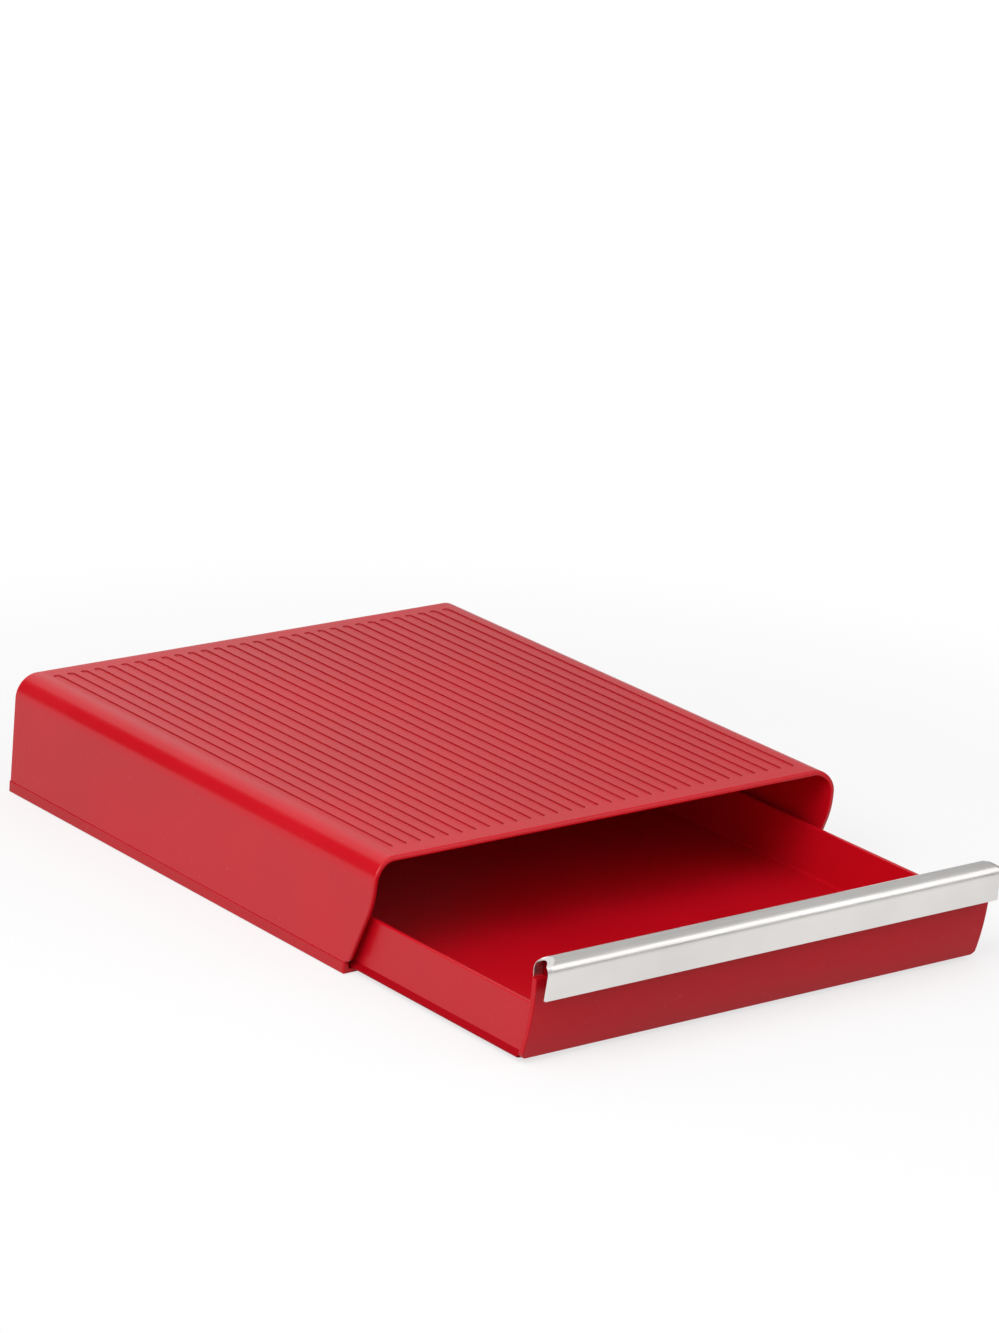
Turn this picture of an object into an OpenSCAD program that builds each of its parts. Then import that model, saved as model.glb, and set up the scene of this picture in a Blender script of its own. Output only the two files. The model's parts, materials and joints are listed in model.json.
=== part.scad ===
// Coffee pod drawer: a low moulded cover that a coffee machine can stand on,
// with a shallow drawer for pods that slides out underneath it.
// Units: mm. X = width (+X right), Y = depth (the front faces -Y), Z = up from the table.
// The origin is on the table, under the middle of the whole object with its drawer open.

/* [Cover] */
// Outer width of the cover shell at table level
cover_w = 273.6; // [268:0.2:310]
// Height of the cover's top face above the table
cover_h = 59.7; // [57:0.1:80]
// Wall thickness of the cover shell
cover_wall = 2.4; // [1.8:0.1:3]
// Outside radius where the top turns down into the sides
corner_r = 12; // [8:1:18]
// Lean of the side walls towards the middle, in degrees
side_draft = 1.6; // [0:0.2:3]
// How far the top's front edge stands in front of the rails
top_overhang = 15.3; // [10:0.1:17]
// How far the side walls' foremost point stands in front of the rails
nose_overhang = 17.3; // [17.2:0.1:24]
// Height of the side walls' foremost point above the table
nose_z = 49; // [44:1:52]
// Lean of the side walls' lower front edge, in degrees from upright
front_lean = 23.5; // [16:0.5:26]
// Radius that joins the leaning front edge to the nose
nose_r = 42; // [30:1:50]
// Radius of the side walls' lower front corner
chin_r = 5.5; // [1:0.5:6]

/* [Top recesses] */
// Number of shallow recesses across the top
slot_count = 31; // [15:2:33]
// Width of each recess
slot_w = 4; // [2:0.1:5]
// Depth of each recess
slot_depth = 0.5; // [0.2:0.1:0.8]
// Plain strip between the outer recesses and the rounded corners
slot_side_margin = 3.5; // [0:0.1:20]
// Plain strip left at the back of the top
slot_back_margin = 8.8; // [5:0.2:20]
// Plain strip left at the front of the top
slot_front_margin = 10; // [8:0.5:40]

/* [Rails] */
// Length of the rails, front to back
rail_len = 279; // [260:0.5:320]
// Height of the rails without the feet
rail_h = 5.5; // [5.2:0.1:7]
// How far the rails stand out past the cover's side walls
rail_step = 0.3; // [0.1:0.1:2]
// Thickness of the rails' inward flange
flange_t = 1.9; // [1:0.1:2.2]
// How far the flange reaches in from the rail's inner face
flange_grip = 6.3; // [2.5:0.1:8]
// Thickness of the tongue that stands behind the cover's side wall
tongue_t = 1.2; // [0.8:0.1:1.5]
// Height of the tongue
tongue_h = 4.5; // [2:0.5:6]
// Distance from the rails' front end to the start of their full thickness
guide_start = 4; // [2:0.5:10]
// Thickness of the rails' outer wall at the front end
band_t = 2.8; // [1.6:0.1:3.2]
// Depth of the tie bar at the back, front to back
tie_depth = 14; // [10:1:30]

/* [Back panel] */
// Thickness of the back panel
back_t = 2.2; // [1.6:0.1:3]
// How far the back panel sits inside the cover's back edge
back_inset = 1.2; // [0.5:0.1:3]

/* [Feet] */
// Gap between the rails and the table
foot_h = 0.4; // [0.3:0.1:3]
// Diameter of the rubber feet
foot_d = 8; // [6:0.5:8.5]
// Depth of the pocket each foot sits in
foot_pocket = 0.6; // [0.3:0.1:0.8]
// Distance from the ends of the rails to the middle of the feet
foot_end = 18; // [10:1:50]

/* [Drawer] */
// How far the drawer stands open
drawer_out = 115; // [0:1:165]
// Height of the tray's side walls and back wall
tray_h = 27; // [20:0.1:30]
// Thickness of the tray's walls
tray_wall = 2.2; // [1.6:0.1:3]
// Thickness of the tray's floor
tray_floor = 2.2; // [1.6:0.1:3]
// Inside radius of the tray's back corners
tray_corner_r = 5; // [2:0.5:10]
// How far the tray's skirt stands out from its side walls
skirt_out = 2; // [1.4:0.1:2.5]
// Height of the skirt, where it meets the side walls
skirt_h = 3; // [2:0.1:3.2]
// Height of the skirt's upright outer edge, below its slope
skirt_edge = 0.9; // [0.5:0.1:2]
// Gap between the skirt and the rail on each side
slide_gap_side = 0.6; // [0.4:0.1:1]
// Gap between the skirt and the rail's flange
slide_gap_under = 0.3; // [0.3:0.1:0.6]
// Gap left behind the tray when the drawer is shut
shut_gap = 0.5; // [0.4:0.1:2]

/* [Drawer front] */
// How far the drawer front stands past the cover's nose when the drawer is shut
front_proud = 0.2; // [0:0.1:4]
// Gap between the drawer front's ends and the rails' inner faces
front_end_gap = 0.6; // [0.4:0.1:2]
// Thickness of the drawer front
front_t = 3; // [2:0.1:4]
// Radius of the drawer front's curved face
front_curve_r = 118; // [90:1:200]
// How far below the handle's arch centre the curved face stands upright
front_upright_drop = 3.3; // [0:0.1:8]
// Radius of the drawer front's lower corners
front_corner_r = 3; // [1:0.5:8]
// How far the drawer front's top is cut in at each end, beside the metal strip
front_notch = 6; // [0:0.1:8]

/* [Handle] */
// How far the metal strip stops short of the drawer front's ends
strip_inset = 0.8; // [0:0.1:10]
// Thickness of the metal strip
strip_t = 1.2; // [0.8:0.1:1.6]
// Outside radius of the strip's arch
arch_r = 6.1; // [5:0.1:7]
// Gap between the strip and the drawer front's top edge
strip_gap = 0.1; // [0.05:0.05:0.4]
// Room between the strip and the underside of the cover's top
handle_clear = 4.9; // [1:0.1:7]
// Height of the short leg behind the drawer front
back_leg_h = 3.7; // [2:0.1:6]
// Length of the leg that hangs in front
front_leg_h = 11.7; // [8:0.1:16]
// Lean of the front leg towards the drawer front, in degrees
front_leg_lean = 8.4; // [0:0.2:10]
// Number of clips that hold the strip
clip_count = 3; // [2:1:6]
// Width of each clip
clip_w = 14; // [8:1:20]

/* [Stops] */
// Length of each stop, front to back
stop_len = 8; // [5:1:12]
// Distance from the rails' front end to the stops
stop_back = 54; // [12:1:60]
// Height of the stops above the rails
stop_h = 9.5; // [8:0.5:12]
// Gap between the stops and the tray's side walls
stop_gap = 0.8; // [0.4:0.1:1]
// Length of the lug at each back corner of the tray
lug_len = 8; // [5:1:12]
// Height of the lugs
lug_h = 7; // [4:0.5:9]
// Gap between a lug and the rail above and beside which it slides
lug_gap = 0.5; // [0.4:0.1:1]

/* [Hidden] */
// overlap that keeps cuts clean
eps = 0.1;
// facets on the drawer front's curve, on round edges and on small ones
curve_fn = 192;
round_fn = 96;
small_fn = 24;
// steps in each drawn arc
arc_steps = 12;
// side walls
lean_t = tan(side_draft);
slant_wall = cover_wall / cos(side_draft);
// inner radius of the handle's arch
arch_in = arch_r - strip_t;
// how far the curve of the drawer front's back face sets the strip's back leg back
back_curve_r = front_curve_r - front_t;
leg_off = max(front_upright_drop, back_leg_h - front_upright_drop);
leg_set_back = back_curve_r - sqrt(back_curve_r * back_curve_r - leg_off * leg_off);
// how far the handle reaches in front of the rails, then the rails, flange and shell
arch_offset = front_t + leg_set_back + strip_gap - arch_in;
handle_reach = nose_overhang + front_proud - arch_offset + arch_r + drawer_out;
rail_back = (rail_len + handle_reach) / 2;
rail_front = rail_back - rail_len;
shell_z = foot_h + rail_h;
flange_top = foot_h + flange_t;
tongue_top = shell_z + tongue_h;
rail_x = outer_x(shell_z) + rail_step;
guide_x = inner_x(shell_z) - tongue_t;
flange_x = guide_x - flange_grip;
foot_x = (flange_x + rail_x) / 2;
// middle of the rounded corner between top and side
corner_z = cover_h - corner_r;
corner_x = cover_w / 2 - corner_z * lean_t - corner_r / cos(side_draft);
// front edge of the side walls and of the top
nose_y = rail_front - nose_overhang;
top_front = rail_front - top_overhang;
// tray, drawn with the drawer shut
skirt_x = guide_x - slide_gap_side;
tray_x = skirt_x - skirt_out;
tray_z = flange_top + slide_gap_under;
back_face_y = rail_back - back_inset - back_t;
tray_back = back_face_y - shut_gap;
stop_x = tray_x + stop_gap;
lug_x = inner_x(tongue_top) - tongue_t - lug_gap;
// drawer front and handle, drawn with the drawer shut
face_y = nose_y - front_proud;
curve_y = face_y + front_curve_r;
front_x = guide_x - front_end_gap;
strip_x = front_x - strip_inset;
arch_y = face_y + arch_offset;
arch_z = cover_h - cover_wall - handle_clear - arch_r;
front_upright_z = arch_z - front_upright_drop;

// half width of the cover's outer face at height z, below the rounded corner
function outer_x(z) = cover_w / 2 - z * lean_t;

// half width of the cover's inner face at height z
function inner_x(z) = outer_x(z) - slant_wall;

// points on an arc of radius r about the point [u, v], from angle a to angle b
function arc(u, v, r, a, b) = [
  for (i = [0 : arc_steps])
    let (t = a + (b - a) * i / arc_steps)
    [u + r * cos(t), v + r * sin(t)]
];

// a flat drawing in X and Z, pushed along Y from y0 to y1
module along_y(y0, y1) {
  translate([0, y1, 0])
    rotate([90, 0, 0])
    linear_extrude(y1 - y0)
    children();
}

// a flat drawing in Y and Z, pushed along X from x0 to x1
module along_x(x0, x1) {
  translate([x0, 0, 0])
    rotate([90, 0, 90])
    linear_extrude(x1 - x0)
    children();
}

// a block between two opposite corners
module block(low, high) {
  translate(low) cube(high - low);
}

// cross-section of the cover in X and Z, moved in from its outer face by inset
module cover_section(inset) {
  r = corner_r - inset;
  turn = arc(corner_x, corner_z, r, side_draft, 90);
  low_x = turn[0][0] + (turn[0][1] + eps) * lean_t;
  mirrored = [for (i = [arc_steps : -1 : 0]) [-turn[i][0], turn[i][1]]];
  polygon(concat([[low_x, -eps]], turn, mirrored, [[-low_x, -eps]]));
}

// side view of the cover: below the nose its front edge leans back to the rails
module cover_side_view() {
  lean_y = nose_y + nose_r - nose_r * cos(front_lean);
  lean_z = nose_z - nose_r * sin(front_lean);
  chin_y = lean_y + (lean_z - shell_z) * tan(front_lean) + chin_r / tan(45 + front_lean / 2);
  set_back = nose_overhang - top_overhang;
  rise = cover_h - nose_z;
  top_r = (rise * rise + set_back * set_back) / (2 * set_back);
  polygon(concat(
    arc(chin_y, shell_z + chin_r, chin_r, 270, 180 + front_lean),
    arc(nose_y + nose_r, nose_z, nose_r, 180 + front_lean, 180),
    arc(nose_y + top_r, nose_z, top_r, 180, 180 - asin(rise / top_r)),
    [[top_front, cover_h + eps], [rail_back, cover_h + eps], [rail_back, shell_z]]
  ));
}

// long recesses with round ends, seen from above
module recesses() {
  span = 2 * (corner_x - slot_side_margin) - slot_w;
  front = top_front + slot_front_margin + slot_w / 2;
  back = rail_back - slot_back_margin - slot_w / 2;
  for (i = [0 : slot_count - 1])
    translate([span * (i / (slot_count - 1) - 0.5), 0]) {
      translate([-slot_w / 2, front]) square([slot_w, back - front]);
      for (y = [front, back])
        translate([0, y]) circle(d = slot_w, $fn = small_fn);
    }
}

// one-piece cover: flat top, rounded corners and two side walls
module cover_shell() {
  color("firebrick")
  difference() {
    intersection() {
      along_y(nose_y - eps, rail_back)
        difference() {
          cover_section(0);
          cover_section(cover_wall);
        }
      along_x(-cover_w, cover_w) cover_side_view();
    }
    translate([0, 0, cover_h - slot_depth]) linear_extrude(slot_depth + eps) recesses();
  }
}

// right-hand rail: an outer wall with a tongue on top and a flange under the tray's skirt
module rail() {
  guide_y = rail_front + guide_start;
  color("indianred")
  difference() {
    union() {
      along_y(rail_front, guide_y)
        polygon([
          [flange_x, foot_h], [rail_x, foot_h], [rail_x, shell_z],
          [rail_x - band_t, shell_z], [rail_x - band_t, flange_top], [flange_x, flange_top]
        ]);
      along_y(guide_y, rail_back)
        polygon([
          [flange_x, foot_h], [rail_x, foot_h], [rail_x, shell_z],
          [guide_x, shell_z], [guide_x, flange_top], [flange_x, flange_top]
        ]);
      along_y(guide_y, back_face_y)
        polygon([
          [guide_x, shell_z], [inner_x(shell_z), shell_z],
          [inner_x(tongue_top), tongue_top], [inner_x(tongue_top) - tongue_t, tongue_top]
        ]);
    }
    for (y = [rail_front + foot_end, rail_back - foot_end])
      translate([foot_x, y, foot_h - eps]) cylinder(d = foot_d, h = foot_pocket + eps, $fn = round_fn);
  }
}

module rail_right() {
  rail();
}

module rail_left() {
  mirror([1, 0, 0]) rail();
}

// flat bar that ties the two rails together at the back
module tie_bar() {
  color("indianred")
    block([-flange_x, rail_back - tie_depth, foot_h], [flange_x, rail_back, flange_top]);
}

// plate that closes the back, standing on the tie bar between the rails
module back_panel() {
  color("brown")
  along_y(back_face_y, back_face_y + back_t) {
    intersection() {
      cover_section(cover_wall);
      translate([-cover_w / 2, shell_z]) square([cover_w, cover_h]);
    }
    translate([-guide_x, flange_top]) square([2 * guide_x, rail_h]);
  }
}

// four feet pressed into the rails' undersides
module rubber_feet() {
  color("dimgray")
  for (side = [-1, 1], y = [rail_front + foot_end, rail_back - foot_end])
    translate([side * foot_x, y, 0]) cylinder(d = foot_d, h = foot_h + foot_pocket, $fn = round_fn);
}

// blocks hooked over the rails' tongues: they hold the skirt down and catch the tray's lugs
module drawer_stops() {
  stop_top = shell_z + stop_h;
  stop_y = rail_front + stop_back;
  color("darkred")
  for (side = [0, 1])
    mirror([side, 0, 0])
    along_y(stop_y, stop_y + stop_len)
      polygon([
        [stop_x, shell_z], [guide_x, shell_z], [inner_x(tongue_top) - tongue_t, tongue_top],
        [inner_x(tongue_top), tongue_top], [inner_x(stop_top), stop_top], [stop_x, stop_top]
      ]);
}

// everything behind the drawer front's back face, in Y and Z
module behind_front() {
  translate([curve_y, front_upright_z]) circle(back_curve_r, $fn = curve_fn);
  translate([curve_y, -eps]) square([rail_len, cover_h]);
}

// cross-section of the skirt in X and Z: an upright edge with a slope above it
module skirt_section() {
  edge_z = tray_z + skirt_edge;
  slope_z = tray_z + skirt_h;
  polygon([
    [-skirt_x, tray_z], [skirt_x, tray_z], [skirt_x, edge_z],
    [tray_x, slope_z], [-tray_x, slope_z], [-skirt_x, edge_z]
  ]);
}

// open tray with a skirt that runs in the rails and a lug at each back corner
module drawer_tray() {
  well_x = tray_x - tray_wall;
  well_back = tray_back - tray_wall;
  turn_x = well_x - tray_corner_r;
  turn_y = well_back - tray_corner_r;
  lug_z = shell_z + lug_gap;
  color("crimson")
  translate([0, -drawer_out, 0])
  difference() {
    union() {
      intersection() {
        union() {
          block([-tray_x, face_y, tray_z], [tray_x, tray_back, tray_z + tray_h]);
          along_y(face_y, tray_back) skirt_section();
        }
        along_x(-cover_w, cover_w) behind_front();
      }
      block([-lug_x, tray_back - lug_len, lug_z], [lug_x, tray_back, lug_z + lug_h]);
    }
    translate([0, 0, tray_z + tray_floor])
      linear_extrude(tray_h) {
        translate([-well_x, face_y]) square([2 * well_x, turn_y - face_y]);
        translate([-turn_x, face_y]) square([2 * turn_x, well_back - face_y]);
        for (side = [-1, 1])
          translate([side * turn_x, turn_y]) circle(tray_corner_r, $fn = round_fn);
      }
  }
}

// half disc under the handle's arch, in Y and Z
module arch_fill(r) {
  polygon(arc(arch_y, arch_z, r, 0, 180));
}

// curved slice of the drawer front in Y and Z, rounded under the handle's arch
module front_slice() {
  intersection() {
    difference() {
      translate([curve_y, front_upright_z]) circle(front_curve_r, $fn = curve_fn);
      translate([curve_y, front_upright_z]) circle(back_curve_r, $fn = curve_fn);
    }
    union() {
      translate([face_y - arch_r, 0]) square([front_curve_r, arch_z]);
      arch_fill(arch_in - strip_gap);
    }
  }
}

// drawer front with rounded lower corners and a narrower top under the handle
module drawer_front() {
  r = front_corner_r;
  top_x = front_x - front_notch;
  shoulder_z = arch_z - back_leg_h;
  color("firebrick")
  translate([0, -drawer_out, 0])
  intersection() {
    along_x(-front_x, front_x) front_slice();
    along_y(face_y - eps, curve_y) {
      translate([-front_x, tray_z + r]) square([2 * front_x, shoulder_z - tray_z - r]);
      translate([r - front_x, tray_z]) square([2 * (front_x - r), shoulder_z - tray_z]);
      translate([-top_x, tray_z + r]) square([2 * top_x, cover_h]);
      for (side = [-1, 1])
        translate([side * (front_x - r), tray_z + r]) circle(r, $fn = round_fn);
    }
  }
}

// point on the strip's front leg, seen from the arch's centre: on its face at radius r, h down the leg
function leg_point(r, h) = [
  h * sin(front_leg_lean) - r * cos(front_leg_lean),
  -h * cos(front_leg_lean) - r * sin(front_leg_lean)
];

// metal strip arched over the top of the drawer front, with a leg in front to pull on
module handle_strip() {
  color("silver")
  translate([0, -drawer_out, 0])
  along_x(-strip_x, strip_x)
    translate([arch_y, arch_z])
    polygon(concat(
      [leg_point(arch_r, front_leg_h), leg_point(arch_r, 0)],
      arc(0, 0, arch_r, 180, 0),
      [[arch_r, -back_leg_h], [arch_in, -back_leg_h]],
      arc(0, 0, arch_in, 0, 180),
      [leg_point(arch_in, 0), leg_point(arch_in, front_leg_h)]
    ));
}

// clips that fill the top of the arch in front of the drawer front
module handle_clips() {
  pitch = 2 * strip_x / clip_count;
  color("darkred")
  translate([0, -drawer_out, 0])
  for (i = [0 : clip_count - 1])
    translate([pitch * (i + 0.5) - strip_x - clip_w / 2, 0, 0])
    along_x(0, clip_w)
      difference() {
        arch_fill(arch_in);
        translate([curve_y, front_upright_z]) circle(front_curve_r, $fn = curve_fn);
      }
}

cover_shell();
rail_left();
rail_right();
tie_bar();
back_panel();
rubber_feet();
drawer_stops();
drawer_tray();
drawer_front();
handle_strip();
handle_clips();
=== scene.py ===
import json
import math

import bmesh
import bpy
import numpy as np
from mathutils import Matrix, Vector

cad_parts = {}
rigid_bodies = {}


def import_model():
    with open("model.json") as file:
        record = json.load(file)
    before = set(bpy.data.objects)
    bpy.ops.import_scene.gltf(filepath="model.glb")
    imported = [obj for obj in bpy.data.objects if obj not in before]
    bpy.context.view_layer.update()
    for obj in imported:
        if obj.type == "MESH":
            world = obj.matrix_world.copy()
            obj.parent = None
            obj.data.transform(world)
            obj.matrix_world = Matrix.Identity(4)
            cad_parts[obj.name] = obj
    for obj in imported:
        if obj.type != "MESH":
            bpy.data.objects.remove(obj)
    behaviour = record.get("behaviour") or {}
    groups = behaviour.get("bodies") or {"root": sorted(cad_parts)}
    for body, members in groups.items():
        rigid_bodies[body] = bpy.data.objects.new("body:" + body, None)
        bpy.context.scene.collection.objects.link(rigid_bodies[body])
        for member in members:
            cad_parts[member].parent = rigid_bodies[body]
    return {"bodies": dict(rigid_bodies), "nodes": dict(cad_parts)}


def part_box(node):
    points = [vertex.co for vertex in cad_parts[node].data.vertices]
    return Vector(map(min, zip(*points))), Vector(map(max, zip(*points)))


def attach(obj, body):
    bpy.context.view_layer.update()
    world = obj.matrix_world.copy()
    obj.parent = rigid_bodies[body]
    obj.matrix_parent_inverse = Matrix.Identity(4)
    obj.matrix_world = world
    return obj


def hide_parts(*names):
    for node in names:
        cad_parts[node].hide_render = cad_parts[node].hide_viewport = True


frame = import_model()
ours = set(frame["nodes"].values()) | set(frame["bodies"].values())
for leftover in [o for o in bpy.data.objects if o not in ours]:
    bpy.data.objects.remove(leftover)
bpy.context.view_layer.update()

mm = 0.001
quarter = math.pi / 2
hardAngle = math.radians(40)
# Beside a round edge, the next point lies at least this many of its radii from the outer face.
pastEdge = 1.2
coverLow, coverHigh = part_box("cover_shell")
railLow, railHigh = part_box("rail_right")
trayLow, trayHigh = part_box("drawer_tray")
frontLow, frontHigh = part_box("drawer_front")
stripLow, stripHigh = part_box("handle_strip")
panelLow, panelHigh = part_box("back_panel")
tieLow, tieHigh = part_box("tie_bar")
feetLow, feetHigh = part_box("rubber_feet")
stopsLow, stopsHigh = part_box("drawer_stops")

print("stage: camera")

# Where the camera stands, and the way it looks: azimuth 0 looks along +Y, roll turns the picture.
cameraSetup = {
    "place": (-1.53984, -1.93719, 0.90626),
    "azimuthDeg": -38.424,
    "elevationDeg": 17.937,
    "rollDeg": 3.517,
    "lens": 149.9,
    "sensor": 36.0,
    "clip": (0.05, 50.0),
}


# The camera's back axis is (sin a cos e, -cos a cos e, sin e), its right axis lies level, and both
# right and up are then turned about the back axis by the roll.
def makeCamera(setup):
    a = math.radians(setup["azimuthDeg"])
    e = math.radians(setup["elevationDeg"])
    r = math.radians(setup["rollDeg"])
    back = Vector((math.sin(a) * math.cos(e), -math.cos(a) * math.cos(e), math.sin(e)))
    level = Vector((math.cos(a), math.sin(a), 0.0))
    upright = back.cross(level)
    right = level * math.cos(r) + upright * math.sin(r)
    up = upright * math.cos(r) - level * math.sin(r)
    data = bpy.data.cameras.new("camera")
    data.lens = setup["lens"]
    data.sensor_width = setup["sensor"]
    data.clip_start, data.clip_end = setup["clip"]
    camera = bpy.data.objects.new("camera", data)
    bpy.context.scene.collection.objects.link(camera)
    turn = Matrix((right, up, back)).transposed().to_4x4()
    camera.matrix_world = Matrix.Translation(setup["place"]) @ turn
    bpy.context.scene.camera = camera


makeCamera(cameraSetup)

print("stage: mesh helpers")

# Points closer than merge become one, and edges shorter than shortest go.
meshLimits = {"merge": 1e-6, "shortest": 1e-7}


# Quads between neighbouring rows of points. The rows are stored one after another, and each is a
# closed loop: point c of row r has the index r * cols + c.
def gridQuads(rows, cols):
    r = np.arange(rows - 1)[:, None]
    c = np.arange(cols)[None, :]
    nextCol = (c + 1) % cols
    corners = (r * cols + c, r * cols + nextCol, (r + 1) * cols + nextCol, (r + 1) * cols + c)
    return np.stack(np.broadcast_arrays(*corners), -1).reshape(-1, 4)


# Closed loops of points, one after another, with a flat cap on the first and the last. A surface is
# its points, and blocks of faces with as many corners each.
def loopSurface(loops):
    rows, cols = loops.shape[:2]
    firstCap = np.arange(cols)[None, :]
    return loops.reshape(-1, 3), [gridQuads(rows, cols), firstCap, firstCap + (rows - 1) * cols]


# Several closed surfaces as the points and blocks of faces of one mesh.
def together(surfaces):
    points, blocks, start = [], [], 0
    for surfacePoints, surfaceBlocks in surfaces:
        points.append(surfacePoints)
        blocks += [block + start for block in surfaceBlocks]
        start += len(surfacePoints)
    return np.concatenate(points), blocks


# A smooth piece: doubles are merged, faces turned outwards, and normals weighted by face area, so
# that flat faces stay flat beside their round edges. Where faces meet at a hard angle they stay apart.
def addPiece(name, surfaces, material, body, nodes):
    points, blocks = together(surfaces)
    mesh = bpy.data.meshes.new(name)
    mesh.from_pydata(points.tolist(), [], sum((block.tolist() for block in blocks), []))
    work = bmesh.new()
    work.from_mesh(mesh)
    bmesh.ops.remove_doubles(work, verts=work.verts, dist=meshLimits["merge"])
    bmesh.ops.dissolve_degenerate(work, edges=work.edges, dist=meshLimits["shortest"])
    bmesh.ops.recalc_face_normals(work, faces=work.faces)
    work.to_mesh(mesh)
    work.free()
    mesh.polygons.foreach_set("use_smooth", np.ones(len(mesh.polygons), bool))
    mesh.set_sharp_from_angle(angle=hardAngle)
    mesh.materials.append(material)
    piece = bpy.data.objects.new(name, mesh)
    bpy.context.scene.collection.objects.link(piece)
    flat = piece.modifiers.new("weightedNormals", "WEIGHTED_NORMAL")
    flat.keep_sharp = True
    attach(piece, body)
    if nodes:
        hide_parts(*nodes)


# A closed outline with round corners. Where its sides leave a corner along u and w, the arc starts
# radius / tan(half the corner) away, and turns about a centre that lies radius / sin(half the corner)
# along the line between them.
def roundOutline(corners, radii, steps=6):
    p = np.array(corners, float)
    u = np.roll(p, 1, axis=0) - p
    w = np.roll(p, -1, axis=0) - p
    u /= np.linalg.norm(u, axis=1, keepdims=True)
    w /= np.linalg.norm(w, axis=1, keepdims=True)
    half = np.arccos(np.clip((u * w).sum(1), -1, 1)) / 2
    r = np.broadcast_to(np.array(radii, float), half.shape)
    centre = p + (u + w) / np.linalg.norm(u + w, axis=1, keepdims=True) * (r / np.sin(half))[:, None]
    start = p + u * (r / np.tan(half))[:, None] - centre
    end = p + w * (r / np.tan(half))[:, None] - centre
    turn = (math.pi - 2 * half)[:, None]
    s = np.linspace(0, 1, steps + 1)[None, :]
    before = (np.sin((1 - s) * turn) / np.sin(turn))[..., None]
    after = (np.sin(s * turn) / np.sin(turn))[..., None]
    arcs = centre[:, None] + before * start[:, None] + after * end[:, None]
    return arcs.reshape(-1, 2)


# An open path with round corners: its ends stay, and each corner between them becomes an arc.
def roundPath(corners, radii, steps=5):
    arcs = roundOutline(corners, [0, *radii, 0], steps).reshape(len(corners), steps + 1, 2)
    return np.concatenate([arcs[0, :1], arcs[1:-1].reshape(-1, 2), arcs[-1, :1]])


# Unit normals of a closed outline that runs anticlockwise: its tangent turned clockwise.
def outlineNormals(outline):
    tangent = np.roll(outline, -1, axis=0) - np.roll(outline, 1, axis=0)
    tangent /= np.linalg.norm(tangent, axis=1, keepdims=True)
    return np.stack([tangent[:, 1], -tangent[:, 0]], 1)


# How a round edge of radius edge moves in, and along, over a quarter turn: by edge * (1 - sin a) and
# edge * (1 - cos a).
def edgeSteps(edge, steps=4):
    a = np.linspace(0, quarter, steps + 1)
    return edge * (1 - np.sin(a)), edge * (1 - np.cos(a))


# How far a round edge of radius edge lies below a flat face, at some distance from the face's side.
def edgeDrop(distance, edge):
    return edge - np.sqrt(np.maximum(edge ** 2 - np.maximum(edge - distance, 0) ** 2, 0))


# A bar: its outline is carried from low to high along one axis, and moves in by the round edge at
# both ends. The outline's two numbers are the other two axes, in X, Y, Z order.
def bar(outline, low, high, edge, axis):
    moveIn, along = edgeSteps(edge)
    moveIn = np.concatenate([moveIn, moveIn[::-1]])[:, None, None]
    place = np.concatenate([low + along, high - along[::-1]])
    flat = outline[None] - outlineNormals(outline)[None] * moveIn
    place = np.broadcast_to(place[:, None], flat.shape[:2])
    parts = [flat[..., 0], flat[..., 1]]
    parts.insert(axis, place)
    return loopSurface(np.stack(parts, -1))


# The same points on the other side of the YZ plane.
def mirrored(surface):
    points, blocks = surface
    return points * np.array([-1.0, 1.0, 1.0]), blocks


print("stage: materials")


# Adds a node. An input, by name or number, gets a fixed value, or the output that feeds it.
def addNode(tree, kind, settings=None, inputs=None):
    node = tree.nodes.new(kind)
    for key, value in (settings or {}).items():
        setattr(node, key, value)
    for key, value in (inputs or {}).items():
        if isinstance(value, bpy.types.NodeSocket):
            tree.links.new(value, node.inputs[key])
        else:
            node.inputs[key].default_value = value
    return node


# An empty material, and its node tree.
def newMaterial(name):
    material = bpy.data.materials.new(name)
    material.use_nodes = True
    material.node_tree.nodes.clear()
    return material, material.node_tree


# A material's finish: a shader with these inputs, shown by the output.
def addShader(tree, inputs):
    shader = addNode(tree, "ShaderNodeBsdfPrincipled", inputs=inputs)
    addNode(tree, "ShaderNodeOutputMaterial", inputs={"Surface": shader.outputs["BSDF"]})


# The place on the object, in its own coordinates.
def ownPlace(tree):
    return addNode(tree, "ShaderNodeTexCoord").outputs["Object"]


# The X, Y and Z of a vector.
def axes(tree, vector):
    node = addNode(tree, "ShaderNodeSeparateXYZ", inputs={0: vector})
    return [node.outputs[axis] for axis in "XYZ"]


# Noise over a place that is stretched along each axis.
def addNoise(tree, place, scale, detail=3.0, stretch=(1, 1, 1)):
    mapping = addNode(tree, "ShaderNodeMapping", inputs={"Vector": place, "Scale": stretch})
    inputs = {"Vector": mapping.outputs["Vector"], "Scale": scale, "Detail": detail}
    return addNode(tree, "ShaderNodeTexNoise", inputs=inputs).outputs["Fac"]


# Carries a value from one range to another, easing at both ends. The first range is the middle
# stretch of noise, unless another is given.
def mapRange(tree, value, low, high, fromLow=0.3, fromHigh=0.7):
    inputs = {"Value": value, "From Min": fromLow, "From Max": fromHigh, "To Min": low, "To Max": high}
    node = addNode(tree, "ShaderNodeMapRange", {"interpolation_type": "SMOOTHSTEP"}, inputs)
    return node.outputs["Result"]


# Joins values by an operation, such as their sum.
def joined(tree, operation, *values):
    return addNode(tree, "ShaderNodeMath", {"operation": operation}, dict(enumerate(values))).outputs[0]


# One value times another.
def product(tree, first, second):
    return joined(tree, "MULTIPLY", first, second)


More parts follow.
